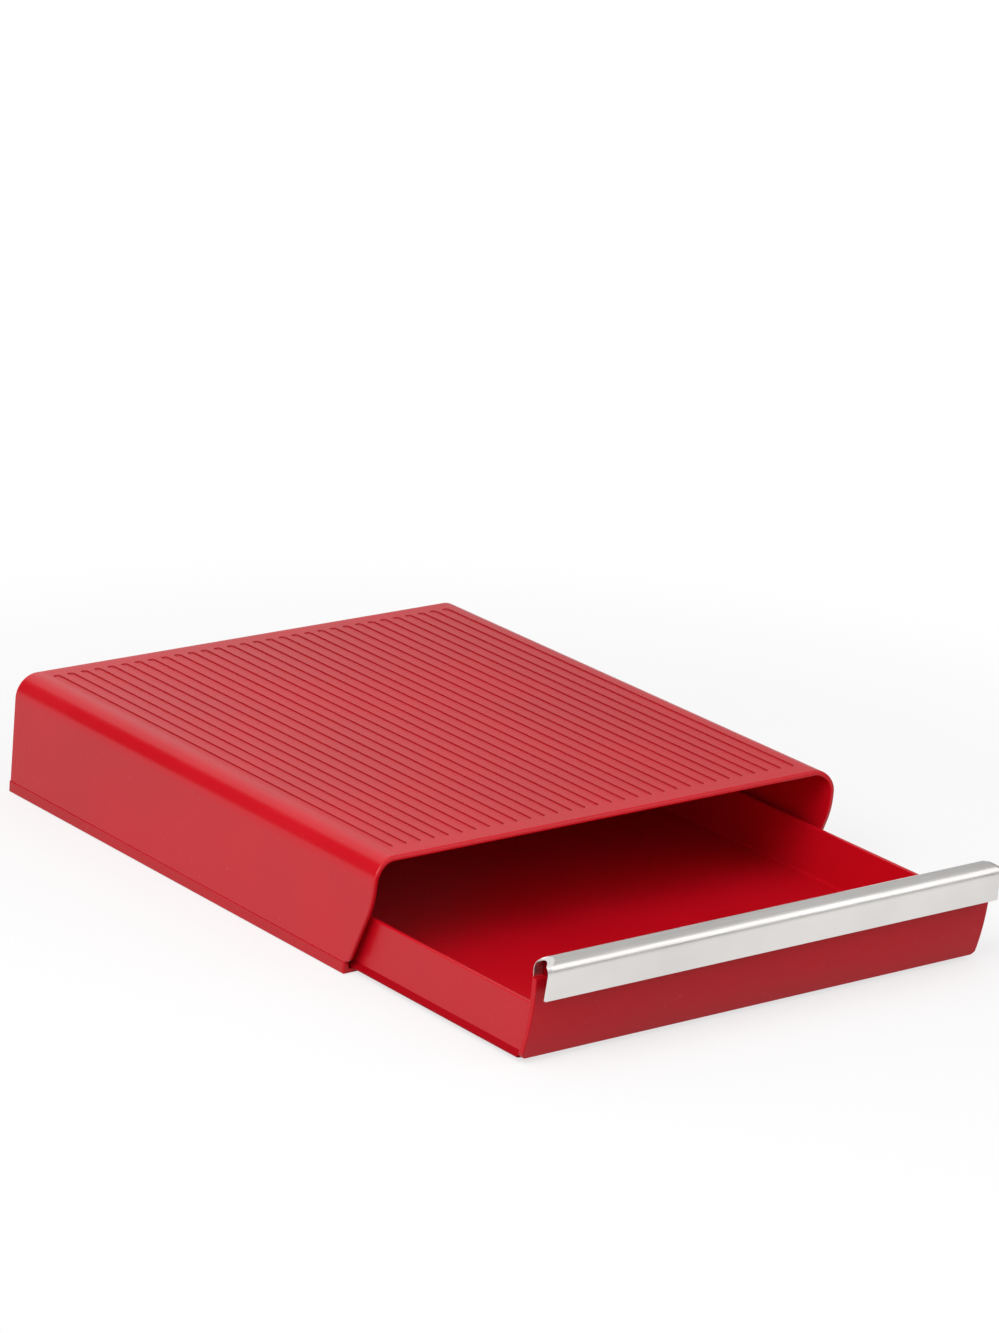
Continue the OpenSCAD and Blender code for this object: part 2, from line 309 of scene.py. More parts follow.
# A value times a fixed number, plus another fixed number.
def scaled(tree, value, factor, offset=0.0):
    return joined(tree, "MULTIPLY_ADD", value, factor, offset)


# 0 or 1 outside and inside a range of a value, easing over a soft step centred on each of its ends.
def insideRange(tree, value, low, high, soft):
    up = mapRange(tree, value, 0.0, 1.0, low - soft / 2, low + soft / 2)
    down = mapRange(tree, value, 1.0, 0.0, high - soft / 2, high + soft / 2)
    return product(tree, up, down)


# Mixes two colours. The first is fixed, or a colour that is already there.
def mixColour(tree, factor, first, second):
    if not isinstance(first, bpy.types.NodeSocket):
        first = (*first, 1.0)
    inputs = {"Factor": factor, "A": first, "B": (*second, 1.0)}
    return addNode(tree, "ShaderNodeMix", {"data_type": "RGBA"}, inputs).outputs["Result"]


# A bump, laid over the one below it if there is one.
def addBump(tree, height, strength, distance, below=None):
    inputs = {"Height": height, "Strength": strength, "Distance": distance}
    if below is not None:
        inputs["Normal"] = below
    return addNode(tree, "ShaderNodeBump", inputs=inputs).outputs["Normal"]


# Moulded plastic: two close tones in broad clouds, a fine spark texture from the mould, faint pale
# specks, and a roughness that varies a little over the surface. A field gives a box in which the
# texture is coarser and the walls of shallow recesses are painted darker: painted shade in the
# recesses. A shade gives heights between which the plastic is painted darker and duller towards both
# ends: painted shade, with the reflection there painted weaker too.
def mouldedPlastic(name, finish, field=None, shade=None):
    material, tree = newMaterial(name)
    place = ownPlace(tree)
    clouds = addNoise(tree, place, finish["cloudScale"])
    grain = addNoise(tree, place, finish["grainScale"], detail=2.0)
    waves = addNoise(tree, place, finish["waveScale"], detail=1.0)
    specks = addNoise(tree, place, finish["speckScale"], detail=0.0)
    colour = mixColour(tree, mapRange(tree, clouds, 0, 1), finish["dark"], finish["light"])
    speckled = mapRange(tree, specks, 0, finish["speckShare"], *finish["speckTurn"])
    colour = mixColour(tree, speckled, colour, finish["speck"])
    rough = mapRange(tree, clouds, finish["smooth"], finish["rough"])
    normal = addBump(tree, waves, finish["waveStrength"], finish["waveDepth"])
    normal = addBump(tree, grain, finish["grainStrength"], finish["grainDepth"], normal)
    specular = finish["specular"]
    if field:
        x, y, z = axes(tree, place)
        inX = insideRange(tree, x, -field["halfWidth"], field["halfWidth"], field["soft"])
        inY = insideRange(tree, y, field["front"], field["back"], field["soft"])
        above = insideRange(tree, z, *field["heights"], field["sharp"])
        inField = product(tree, product(tree, inX, inY), above)
        # Painted shade: the walls of the recesses are painted darker, as if shade falls in them.
        walls = insideRange(tree, z, *field["wallHeights"], field["sharp"])
        shadedWalls = product(tree, inField, walls)
        colour = mixColour(tree, scaled(tree, shadedWalls, field["wallShadeShare"]), colour, field["wallShadeColour"])
        rough = joined(tree, "ADD", rough, scaled(tree, inField, field["roughMore"]))
        coarse = addNoise(tree, place, field["textureScale"], detail=1.0)
        normal = addBump(tree, product(tree, coarse, inField), 1.0, field["textureDepth"], normal)
    # Painted shade: between the heights and towards both ends the colour is painted darker and the
    # reflection weaker.
    if shade:
        x, _, z = axes(tree, place)
        middle = insideRange(tree, x, -shade["startX"], shade["startX"], shade["soft"])
        between = insideRange(tree, z, *shade["heights"], shade["soft"])
        shaded = product(tree, between, scaled(tree, middle, -1.0, 1.0))
        colour = mixColour(tree, scaled(tree, shaded, shade["share"]), colour, shade["colour"])
        specular = scaled(tree, shaded, -shade["dull"] * specular, specular)
    addShader(tree, {
        "Base Color": colour,
        "Roughness": rough,
        "IOR": finish["ior"],
        "Specular IOR Level": specular,
        "Normal": normal,
    })
    return material


# Satin aluminium: brush lines that run along X show in the roughness and the bump, and two close
# tones lie in broad clouds.
def satinMetal(name, finish):
    material, tree = newMaterial(name)
    place = ownPlace(tree)
    lines = addNoise(tree, place, finish["lineScale"], detail=4.0, stretch=finish["lineStretch"])
    clouds = addNoise(tree, place, finish["cloudScale"])
    addShader(tree, {
        "Base Color": mixColour(tree, mapRange(tree, clouds, 0, 1), finish["dark"], finish["light"]),
        "Metallic": 1.0,
        "Roughness": mapRange(tree, lines, finish["smooth"], finish["rough"]),
        "Normal": addBump(tree, lines, finish["lineStrength"], finish["lineDepth"]),
    })
    return material


plasticLook = {
    "dark": (0.575, 0.0028, 0.011),
    "light": (0.625, 0.0034, 0.013),
    "smooth": 0.22,
    "rough": 0.27,
    "ior": 1.5,
    "specular": 0.34,
    "cloudScale": 14.0,
    "waveScale": 60.0,
    "waveStrength": 0.06,
    "waveDepth": 0.0006,
    "grainScale": 2600.0,
    "grainStrength": 0.10,
    "grainDepth": 0.00008,
    "speckScale": 420.0,
    "speckTurn": (0.80, 0.86),
    "speckShare": 0.15,
    "speck": (0.70, 0.12, 0.13),
}
recessField = {
    "halfWidth": coverHigh.x - 15.3 * mm,
    "front": coverLow.y + 3.5 * mm,
    "back": coverHigh.y - 1.5 * mm,
    "soft": 2 * mm,
    "heights": (coverHigh.z - 0.8 * mm, coverHigh.z + 1.3 * mm),
    "wallHeights": (coverHigh.z - 0.48 * mm, coverHigh.z - 0.03 * mm),
    "sharp": 0.06 * mm,
    # painted shade: the recess walls are painted darker with this share and colour
    "wallShadeShare": 0.6,
    "wallShadeColour": (0.10, 0.001, 0.003),
    "roughMore": 0.08,
    "textureScale": 900.0,
    "textureDepth": 0.00003,
}
# A darker, less glossy copy of the cover's plastic: painted shade for the rails along the cover's bottom,
# which the tie bar and the back panel share.
shadedRedPlastic = mouldedPlastic("shadedRedPlastic", plasticLook | {
    "dark": (0.535, 0.0026, 0.010),
    "light": (0.580, 0.0032, 0.012),
    "specular": 0.25,
})
coverPlastic = mouldedPlastic("coverPlastic", plasticLook, recessField)
clipPlastic = mouldedPlastic("clipPlastic", plasticLook | {
    "dark": (0.30, 0.002, 0.006),
    "light": (0.34, 0.003, 0.008),
    "smooth": 0.45,
    "rough": 0.55,
    "specular": 0.4,
    "cloudScale": 40.0,
    "waveScale": 90.0,
})
footRubber = mouldedPlastic("footRubber", plasticLook | {
    "dark": (0.018, 0.018, 0.018),
    "light": (0.03, 0.03, 0.03),
    "smooth": 0.75,
    "rough": 0.9,
    "specular": 0.3,
    "cloudScale": 300.0,
    "waveScale": 400.0,
    "waveStrength": 0.1,
    "waveDepth": 0.0003,
    "grainScale": 3000.0,
    "grainStrength": 0.3,
    "grainDepth": 0.0001,
    "speck": (0.10, 0.10, 0.10),
})
# The strip's two tones are slightly warm: a painted tint that stands in for red light bounced from the
# plastic.
stripMetal = satinMetal("stripMetal", {
    "dark": (0.71, 0.688, 0.670),
    "light": (0.78, 0.757, 0.738),
    "smooth": 0.28,
    "rough": 0.38,
    "cloudScale": 18.0,
    "lineScale": 1800.0,
    "lineStretch": (0.02, 1, 1),
    "lineStrength": 0.12,
    "lineDepth": 0.00005,
})

print("stage: cover shell")

coverShape = {
    "wall": 2.4 * mm,
    "cornerRadius": 12 * mm,
    "draftDeg": 1.6,
    "frontLeanDeg": 23.5,
    "noseHeight": 49 * mm,
    "noseRadius": 42 * mm,
    "chinRadius": 5.5 * mm,
    "topSetBack": 2 * mm,
    "edge": 0.8 * mm,
    "lowerEdge": 0.2 * mm,
    "recessCount": 31,
    "recessWidth": 4 * mm,
    "recessDepth": 0.5 * mm,
    "recessSlope": 0.22 * mm,
    "sideMargin": 3.5 * mm,
    "frontMargin": 10 * mm,
    "backMargin": 8.8 * mm,
    # places of the surface's columns beside a recess's middle, and of its rows beside a recess's end
    "columnsBeside": np.array([0, 0.45, 0.9, 1.4, 1.86, 1.91, 1.96, 2.0, 2.04, 2.09, 2.14, 2.4]) * mm,
    "rowsBeside": np.linspace(-2.4, 0.2, 14) * mm,
    "rowsBeyond": 3 * mm,
    "leastGap": 0.05 * mm,
}
# how many points the stretches of the section, of the rows on the top and of the loop have
coverCounts = {
    "chin": 9,
    "wall": 16,
    "corner": 25,
    "frontRows": 5,
    "middleRows": 10,
    "backRows": 4,
    "lipSteps": 5,
    "inside": 6,
}
draft = math.radians(coverShape["draftDeg"])
slantWall = coverShape["wall"] / math.cos(draft)


# Half the cover's width at height z: its side walls lean in by the tangent of the draft.
def outerX(z):
    return coverHigh.x - (z - coverLow.z) * math.tan(draft)


# Half the width between the walls' inner faces at height z.
def innerX(z):
    return outerX(z) - slantWall


# Where the cover's front edge lies at height z. From the bottom up it is an arc at the chin, a line
# that leans forward, an arc up to the nose, and a wide arc that falls back to the top.
def coverFront(z, shape=coverShape):
    lean = math.radians(shape["frontLeanDeg"])
    nose, chin, bottom = shape["noseRadius"], shape["chinRadius"], coverLow.z
    noseZ, setBack = shape["noseHeight"], shape["topSetBack"]
    leanY = coverLow.y + nose * (1 - math.cos(lean))
    leanZ = noseZ - nose * math.sin(lean)
    chinY = leanY + (leanZ - bottom) * math.tan(lean) + chin / math.tan(math.pi / 4 + lean / 2)
    chinTop = bottom + chin * (1 - math.sin(lean))
    topRadius = ((coverHigh.z - noseZ) ** 2 + setBack ** 2) / (2 * setBack)
    z = np.asarray(z, float)
    chinArc = chinY - np.sqrt(np.maximum(chin ** 2 - (chin - (z - bottom)) ** 2, 0))
    slope = leanY + (leanZ - z) * math.tan(lean)
    noseArc = coverLow.y + nose - np.sqrt(np.maximum(nose ** 2 - (noseZ - z) ** 2, 0))
    topArc = coverLow.y + topRadius - np.sqrt(np.maximum(topRadius ** 2 - (z - noseZ) ** 2, 0))
    return np.select([z < chinTop, z < leanZ, z < noseZ], [chinArc, slope, noseArc], topArc)


# How deep the top is cut at (x, y): the full depth inside long slots with round ends, easing out
# over a narrow slope. The distance to a slot is that to its middle line, less half its width.
def recessDepth(x, y, middles, frontEnd, backEnd, shape=coverShape):
    across = np.abs(x[..., None] - middles).min(-1)
    beyond = np.maximum(np.maximum(frontEnd - y, y - backEnd), 0)
    inside = shape["recessWidth"] / 2 - np.hypot(across, beyond)
    t = np.clip(inside / shape["recessSlope"] + 0.5, 0, 1)
    return shape["recessDepth"] * t * t * (3 - 2 * t)


# The shell is a closed loop carried along the cover's section, from the left wall's bottom edge over
# the top to the right one. The loop runs forward on the outer face, round the front edge, back on
# the inner face and round the back edge: a point at depth d lies d inside the section along its normal.
def coverSurface(shape=coverShape, counts=coverCounts):
    radius, wall, edge = shape["cornerRadius"], shape["wall"], shape["edge"]
    cornerZ = coverHigh.z - radius
    cornerX = outerX(cornerZ) - radius / math.cos(draft)
    lean = math.radians(shape["frontLeanDeg"])

    # section of the right half, from the bottom up
    lowInset, lowRise = edgeSteps(shape["lowerEdge"])
    turn = np.linspace(0, quarter - lean, counts["chin"])
    chinZ = coverLow.z + shape["chinRadius"] * (1 - np.cos(turn))
    wallTop = cornerZ + radius * math.sin(draft)
    wallZ = np.concatenate([
        coverLow.z + lowRise,
        chinZ[chinZ > coverLow.z + pastEdge * shape["lowerEdge"]],
        np.linspace(chinZ[-1], wallTop, counts["wall"])[1:-1],
    ])
    angle = np.linspace(draft, quarter, counts["corner"])
    middles = np.arange(shape["recessCount"]) / (shape["recessCount"] - 1) - 0.5
    middles *= 2 * (cornerX - shape["sideMargin"]) - shape["recessWidth"]
    beside = shape["columnsBeside"]
    topX = np.unique(np.round((middles[:, None] + np.concatenate([-beside, beside])).ravel(), 7))
    topX = topX[np.abs(topX) < cornerX - shape["leastGap"]]
    half = len(wallZ)
    x = np.concatenate([outerX(wallZ), cornerX + radius * np.cos(angle), topX[::-1]])
    z = np.concatenate([wallZ, cornerZ + radius * np.sin(angle), np.full(len(topX), coverHigh.z)])
    nx = np.concatenate([np.full(half, math.cos(draft)), np.cos(angle), np.zeros(len(topX))])
    nz = np.concatenate([np.full(half, math.sin(draft)), np.sin(angle), np.ones(len(topX))])
    inset = np.zeros(len(x))
    inset[: len(lowInset)] = lowInset
    side = half + len(angle)
    bothSides = lambda values, sign: np.concatenate([values, sign * values[:side][::-1]])
    x, nx = bothSides(x, -1), bothSides(nx, -1)
    z, nz, inset = bothSides(z, 1), bothSides(nz, 1), bothSides(inset, 1)[:, None]

    # rows on the top's outer face, dense at the ends of the recesses
    front = float(coverFront(coverHigh.z))
    frontEnd = front + shape["frontMargin"] + shape["recessWidth"] / 2
    backEnd = coverHigh.y - shape["backMargin"] - shape["recessWidth"] / 2
    near, beyond = shape["rowsBeside"], shape["rowsBeyond"]
    rows = np.concatenate([
        np.linspace(front + edge, frontEnd - beyond, counts["frontRows"]),
        frontEnd + near,
        np.linspace(frontEnd, backEnd, counts["middleRows"])[1:-1],
        backEnd - near[::-1],
        np.linspace(backEnd + beyond, coverHigh.y - edge, counts["backRows"]),
    ])
    share = (rows - rows[0]) / (rows[-1] - rows[0])

    # the loop: depth below the outer face, and place between the front and back edges
    lipIn, lipDown = edgeSteps(edge, counts["lipSteps"])
    lipDepth = np.concatenate([lipDown, wall - lipDown[::-1]])
    lipOut = np.concatenate([lipIn, lipIn[::-1]])
    innerShare = np.linspace(0, 1, counts["inside"])[1:-1]
    depth = np.concatenate([
        np.zeros(len(rows)),
        lipDepth,
        np.full(len(innerShare), wall),
        lipDepth[::-1],
    ])
    atBack = np.concatenate([share[::-1], np.zeros(len(lipOut)), innerShare, np.ones(len(lipOut))])
    reach = np.concatenate([
        np.full(len(rows), edge),
        lipOut,
        np.full(len(innerShare), edge),
        lipOut[::-1],
    ])
    depth = np.clip(depth[None, :], inset, wall - inset)
    depth = np.broadcast_to(depth, (len(x), len(atBack))).copy()
    frontY = coverFront(z[:, None] - nz[:, None] * depth) + np.maximum(reach, inset)
    backY = coverHigh.y - np.maximum(reach, inset)
    y = frontY + (backY - frontY) * atBack
    topOuter = np.s_[side : side + len(topX), : len(rows)]
    topXs = np.broadcast_to(x[:, None], y.shape)[topOuter]
    depth[topOuter] += recessDepth(topXs, y[topOuter], middles, frontEnd, backEnd)
    points = np.stack([x[:, None] - nx[:, None] * depth, y, z[:, None] - nz[:, None] * depth], -1)
    return loopSurface(points)


addPiece("coverShell", [coverSurface()], coverPlastic, "housing", ["cover_shell"])

print("stage: rails, tie bar, back panel, feet and stops")

railShape = {
    "flangeThickness": 1.9 * mm,
    "tongueThickness": 1.2 * mm,
    "tongueHeight": 4.5 * mm,
    "tongueCorner": 0.15 * mm,
    "bandThickness": 2.8 * mm,
    "guideStart": 4 * mm,
    "edge": 0.2 * mm,
    "frontCorner": 1.0 * mm,
    "sink": 0.2 * mm,
    "bendPoints": 5,
}
shellZ = coverLow.z
flangeTop = railLow.z + railShape["flangeThickness"]
tongueTop = shellZ + railShape["tongueHeight"]
guideX = innerX(shellZ) - railShape["tongueThickness"]


# The rail's outline steps from the thin outer band at the front to its full thickness: both outlines
# have the same corners, so their loops join into one surface. An arc rounds its outer front corner. A
# tongue stands on it as a second bar.
def railSurfaces(shape=railShape):
    bandX = railHigh.x - shape["bandThickness"]
    guideY = railLow.y + shape["guideStart"]
    corners = lambda innerFace: [
        (railLow.x, railLow.z), (railHigh.x, railLow.z), (railHigh.x, shellZ),
        (innerFace, shellZ), (innerFace, flangeTop), (railLow.x, flangeTop),
    ]
    thin = roundOutline(corners(bandX), shape["edge"])
    full = roundOutline(corners(guideX), shape["edge"])
    moveIn, along = edgeSteps(shape["edge"])
    thinLoops = thin[None] - outlineNormals(thin)[None] * moveIn[:, None, None]
    fullLoops = full[None] - outlineNormals(full)[None] * moveIn[::-1][:, None, None]
    bend = np.linspace(shape["edge"], shape["frontCorner"], shape["bendPoints"])[1:]
    bandLoops = np.broadcast_to(thin, (len(bend), *thin.shape))
    flat = np.concatenate([thinLoops, bandLoops, thin[None], full[None], fullLoops])
    place = np.concatenate([along, bend, [guideY - railLow.y] * 2]) + railLow.y
    place = np.concatenate([place, railHigh.y - along[::-1]])
    place = np.broadcast_to(place[:, None], flat.shape[:2])
    outer = railHigh.x - edgeDrop(place - railLow.y, shape["frontCorner"])
    rail = loopSurface(np.stack([np.minimum(flat[..., 0], outer), place, flat[..., 1]], -1))
    tongue = roundOutline([
        (guideX, shellZ - shape["sink"]),
        (innerX(shellZ - shape["sink"]), shellZ - shape["sink"]),
        (innerX(tongueTop), tongueTop),
        (innerX(tongueTop) - shape["tongueThickness"], tongueTop),
    ], shape["tongueCorner"])
    return [rail, bar(tongue, guideY, panelLow.y, shape["edge"], 1)]


rightRail = railSurfaces()
leftRail = [mirrored(s) for s in rightRail]
addPiece("railRight", rightRail, shadedRedPlastic, "housing", ["rail_right"])
addPiece("railLeft", leftRail, shadedRedPlastic, "housing", ["rail_left"])

tieShape = {"edge": 0.3 * mm}
tieOutline = roundOutline([
    (tieLow.x, tieLow.z), (tieHigh.x, tieLow.z), (tieHigh.x, tieHigh.z), (tieLow.x, tieHigh.z),
], tieShape["edge"])
tie = bar(tieOutline, tieLow.y, tieHigh.y, tieShape["edge"], 1)
addPiece("tieBar", [tie], shadedRedPlastic, "housing", ["tie_bar"])

panelShape = {"corner": 0.3 * mm, "edge": 0.5 * mm, "arcSteps": 12}
panelTop = coverHigh.z - coverShape["wall"]
topCorner = coverShape["cornerRadius"] - coverShape["wall"]
corner = panelShape["corner"]
panelOutline = roundOutline([
    (-guideX, flangeTop), (guideX, flangeTop), (guideX, shellZ), (innerX(shellZ), shellZ),
    (innerX(panelTop), panelTop), (-innerX(panelTop), panelTop),
    (-innerX(shellZ), shellZ), (-guideX, shellZ),
], [corner] * 4 + [topCorner] * 2 + [corner] * 2, panelShape["arcSteps"])
panel = bar(panelOutline, panelLow.y, panelHigh.y, panelShape["edge"], 1)
addPiece("backPanel", [panel], shadedRedPlastic, "housing", ["back_panel"])

footShape = {"diameter": 8 * mm, "edge": 0.5 * mm, "capShare": 0.5, "turns": 48}


# A foot: a profile of radius and height, from the sole's flat cap round its edge to the cap of its
# top, carried round a circle.
def footSurface(x, y, shape=footShape):
    radius, edge = shape["diameter"] / 2, shape["edge"]
    moveIn, along = edgeSteps(edge)
    cap = radius * shape["capShare"]
    r = np.concatenate([[cap], radius - moveIn, [radius, cap]])
    z = np.concatenate([[feetLow.z], feetLow.z + along, [feetHigh.z, feetHigh.z]])
    a = np.linspace(0, 2 * math.pi, shape["turns"], endpoint=False)
    heights = np.broadcast_to(z[:, None], (len(z), len(a)))
    return loopSurface(np.stack([x + r[:, None] * np.cos(a), y + r[:, None] * np.sin(a), heights], -1))


footX = feetHigh.x - footShape["diameter"] / 2
footY = [feetLow.y + footShape["diameter"] / 2, feetHigh.y - footShape["diameter"] / 2]
feet = [footSurface(side * footX, y) for side in (-1, 1) for y in footY]
addPiece("rubberFeet", feet, footRubber, "housing", ["rubber_feet"])

stopShape = {"gapToTray": 0.8 * mm, "edge": 0.25 * mm, "corner": 0.15 * mm, "skirtOut": 2 * mm}
trayX = trayHigh.x - stopShape["skirtOut"]
stopX = trayX + stopShape["gapToTray"]
stopOutline = roundOutline([
    (stopX, shellZ), (guideX, shellZ), (innerX(tongueTop) - railShape["tongueThickness"], tongueTop),
    (innerX(tongueTop), tongueTop), (innerX(stopsHigh.z), stopsHigh.z), (stopX, stopsHigh.z),
], stopShape["corner"])
stop = bar(stopOutline, stopsLow.y, stopsHigh.y, stopShape["edge"], 1)
addPiece("drawerStops", [stop, mirrored(stop)], clipPlastic, "housing", ["drawer_stops"])

print("stage: drawer")

frontShape = {
    "thickness": 3 * mm,
    "curveRadius": 118 * mm,
    "cornerRadius": 3 * mm,
    "uprightDrop": 3.3 * mm,
    "notch": 6 * mm,
    "notchEdge": 0.4 * mm,
    "notchSlant": 0.05,
    "middleColumns": (0.66, 0.33),
    "topRounds": 4,
    "edge": 0.5 * mm,
    "endSteps": 6,
    "stepPoints": 5,
    "cornerPoints": 12,
    "facePoints": 25,
    "edgePoints": 17,
}
handleShape = {
    "thickness": 1.2 * mm,
    "archRadius": 6.1 * mm,
    "gap": 0.1 * mm,
    "backLeg": 3.7 * mm,
    "frontLeg": 11.7 * mm,
    "frontLeanDeg": 8.4,
    "edge": 0.25 * mm,
    "crestCut": 4.2 * mm,
    "crestCutHeight": 2.6 * mm,
    "rimCut": 1.7 * mm,
    "footRimCut": 0.3 * mm,
    "endEdge": 0.15 * mm,
    "edgePoints": 4,
    "archPoints": 49,
    "legPoints": 9,
}
archIn = handleShape["archRadius"] - handleShape["thickness"]
archY = stripLow.y + handleShape["archRadius"]
archZ = stripHigh.z - handleShape["archRadius"]
uprightZ = archZ - frontShape["uprightDrop"]
curveY = frontLow.y + frontShape["curveRadius"]
shoulderZ = archZ - handleShape["backLeg"]


# The drawer front's outer face at height z, or the face at some depth behind it: a wide arc about a
# line that lies curveRadius behind the place where the face stands upright.
def frontFace(z, depth=0.0):
    radius = frontShape["curveRadius"] - depth
    return curveY - np.sqrt(radius ** 2 - (np.asarray(z, float) - uprightZ) ** 2)


# Height of the drawer front's top at some depth behind its outer face: it follows a circle that runs
# just inside the strip's arch. The circle's height depends on the place of the face at that height,
# so it is worked out a few times over.
def frontTop(depth):
    radius = archIn - handleShape["gap"]
    z = np.full(np.shape(depth), archZ)
    for _ in range(frontShape["topRounds"]):
        z = archZ + np.sqrt(np.maximum(radius ** 2 - (frontFace(z, depth) - archY) ** 2, 0))
    return z


# The drawer front's columns: places along X, and how much of the top's height each has above the
# shoulders at the ends. The step between them has a small arc at its foot and at its top, and slants
# a little.
def frontColumns(shape=frontShape):
    bend, corner, slant = shape["notchEdge"], shape["cornerRadius"], 1 + shape["notchSlant"]
    stepX, rise = frontHigh.x - shape["notch"], frontHigh.z - shoulderZ
    b = np.linspace(0, quarter, shape["stepPoints"])
    stepXs = np.concatenate([stepX + bend * (slant - np.sin(b)), stepX - bend * (slant - np.cos(b))])
    stepHeights = np.concatenate([bend * (1 - np.cos(b)), rise - bend * (1 - np.sin(b))])
    moveIn, along = edgeSteps(shape["edge"], shape["endSteps"])
    cornerX = frontHigh.x - corner * (1 - np.sin(np.linspace(0, quarter, shape["cornerPoints"])))
    inner = np.concatenate([stepXs, cornerX[cornerX < frontHigh.x - pastEdge * shape["edge"]]])
    middle = frontHigh.x * np.array(shape["middleColumns"])
    x = np.concatenate([frontHigh.x - along, np.unique(inner)[::-1], middle])
    share = np.interp(x, stepXs[::-1], stepHeights[::-1] / rise, left=1, right=0)
    inset = np.concatenate([moveIn, np.zeros(len(x) - len(moveIn))])
    return [np.concatenate([v, sign * v[::-1]])[:, None] for v, sign in ((x, -1), (share, 1), (inset, 1))]


# The drawer front: a section loop in Y and Z is carried along X. It goes up the outer face, over the
# top, down the back face and along the foot, with a round edge at each turn. At the ends the foot
# rises along the round lower corners, and the whole section moves in by the round edge.
def frontSurface(shape=frontShape):
    edge, corner, thick = shape["edge"], shape["cornerRadius"], shape["thickness"]
    x, fullTop, inset = frontColumns()
    intoCorner = np.clip(np.abs(x) - (frontHigh.x - corner), 0, corner - inset)
    foot = frontLow.z + corner - np.sqrt(np.maximum((corner - inset) ** 2 - intoCorner ** 2, 0))
    up = np.linspace(0, 1, shape["facePoints"])[None, :]
    across = thick / 2 * (1 - np.cos(np.linspace(0, math.pi, shape["edgePoints"])))[None, 1:-1]
    drop = lambda depth: np.maximum(edgeDrop(np.minimum(depth, thick - depth), edge), inset)
    top = lambda depth: shoulderZ + (frontTop(depth) - shoulderZ) * fullTop - drop(depth)
    low = lambda depth: foot + drop(depth) - inset
    first, last = np.zeros((1, 1)), np.full((1, 1), thick)
    z = np.concatenate([
        low(first) + (top(first) - low(first)) * up, top(across),
        top(last) + (low(last) - top(last)) * up, low(across[:, ::-1]),
    ], 1)
    depth = np.concatenate([0 * up, across, thick + 0 * up, across[:, ::-1]], 1)
    y = frontFace(z, np.clip(depth, inset, thick - inset))
    return loopSurface(np.stack([np.broadcast_to(x, z.shape), y, z], -1))


frontLook = plasticLook | {"smooth": 0.30, "rough": 0.36, "specular": 0.20}
# Painted shade inside the strip's arch: the drawer front's ends above the shoulders are painted dark and
# lose their reflection.
shadeInsideArch = {
    "startX": trayX - frontShape["notch"] * 2,
    "heights": (shoulderZ, stripHigh.z),
    "soft": 0.4 * mm,
    "share": 0.9,
    "colour": (0.20, 0.0010, 0.004),
    "dull": 1.0,
}
frontPlastic = mouldedPlastic("frontPlastic", frontLook, shade=shadeInsideArch)
addPiece("drawerFront", [frontSurface()], frontPlastic, "drawer", ["drawer_front"])

trayShape = {
    "wall": 2.2 * mm,
    "floor": 2.2 * mm,
    "skirtHeight": 3 * mm,
    "skirtEdge": 0.9 * mm,
    "skirtRadius": 0.3 * mm,
    "slopeRadius": 0.5 * mm,
    "insideCorner": 5 * mm,
    "outsideCorner": 1.2 * mm,
    "leastCorner": 0.3 * mm,
    "floorFillet": 1.5 * mm,
    "edge": 0.35 * mm,
    "lip": 0.7 * mm,
    "arcSteps": 6,
    "turnPoints": 9,
    "tolerance": 0.01 * mm,
    # how far the caps of the underside and the floor lie in, and how deep the front end is sunk
    "undersideCap": 2 * mm,
    "floorCap": 3 * mm,
    "skirtSunk": 0.05 * mm,
    "wallSunk": 0.9 * mm,
    "insideLess": 0.6 * mm,
    "lugLength": 8 * mm,
    "lugGap": 0.5 * mm,
    "lugHeight": 7 * mm,
    "lugEdge": 0.3 * mm,
}


